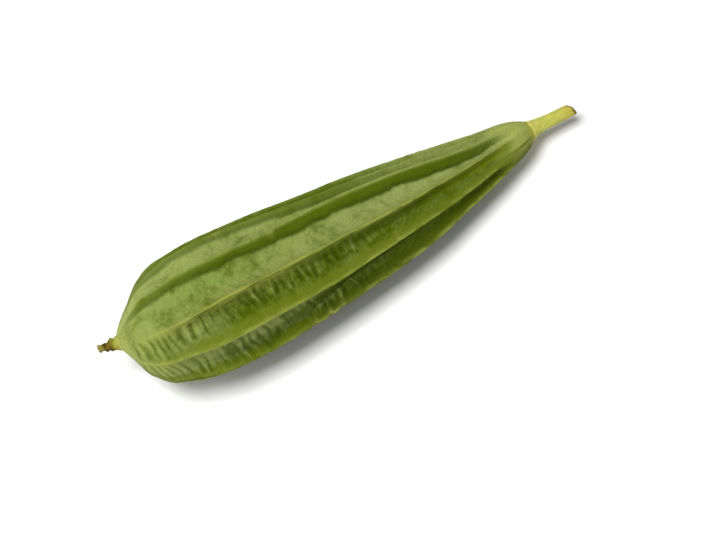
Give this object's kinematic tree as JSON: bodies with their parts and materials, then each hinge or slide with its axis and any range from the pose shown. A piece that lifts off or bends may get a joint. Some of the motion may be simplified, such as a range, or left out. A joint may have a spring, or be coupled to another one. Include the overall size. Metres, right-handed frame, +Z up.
{
  "type": "ridge gourd",
  "caption": "Whole ridged gourd, club-shaped and tapering to a short cut stem, with a withered blossom at its broad end, lying on its side.",
  "frame": {"origin": "centre of the bottom of the box around the whole gourd, on the surface it lies on", "axes": "+X along the gourd towards the stem, +Z up from the surface"},
  "size_m": [0.264, 0.0658, 0.0637],
  "materials": {
    "rind": "matte, slightly waxy green rind, darker beside the ridge crests",
    "stem": "matte yellow-green stalk with a dried brown cut",
    "remnant": "dry brown withered blossom"
  },
  "bodies": {
    "root": {"gourd_body": "rind", "stem": "stem", "blossom_remnant": "remnant"}
  },
  "joints": []
}
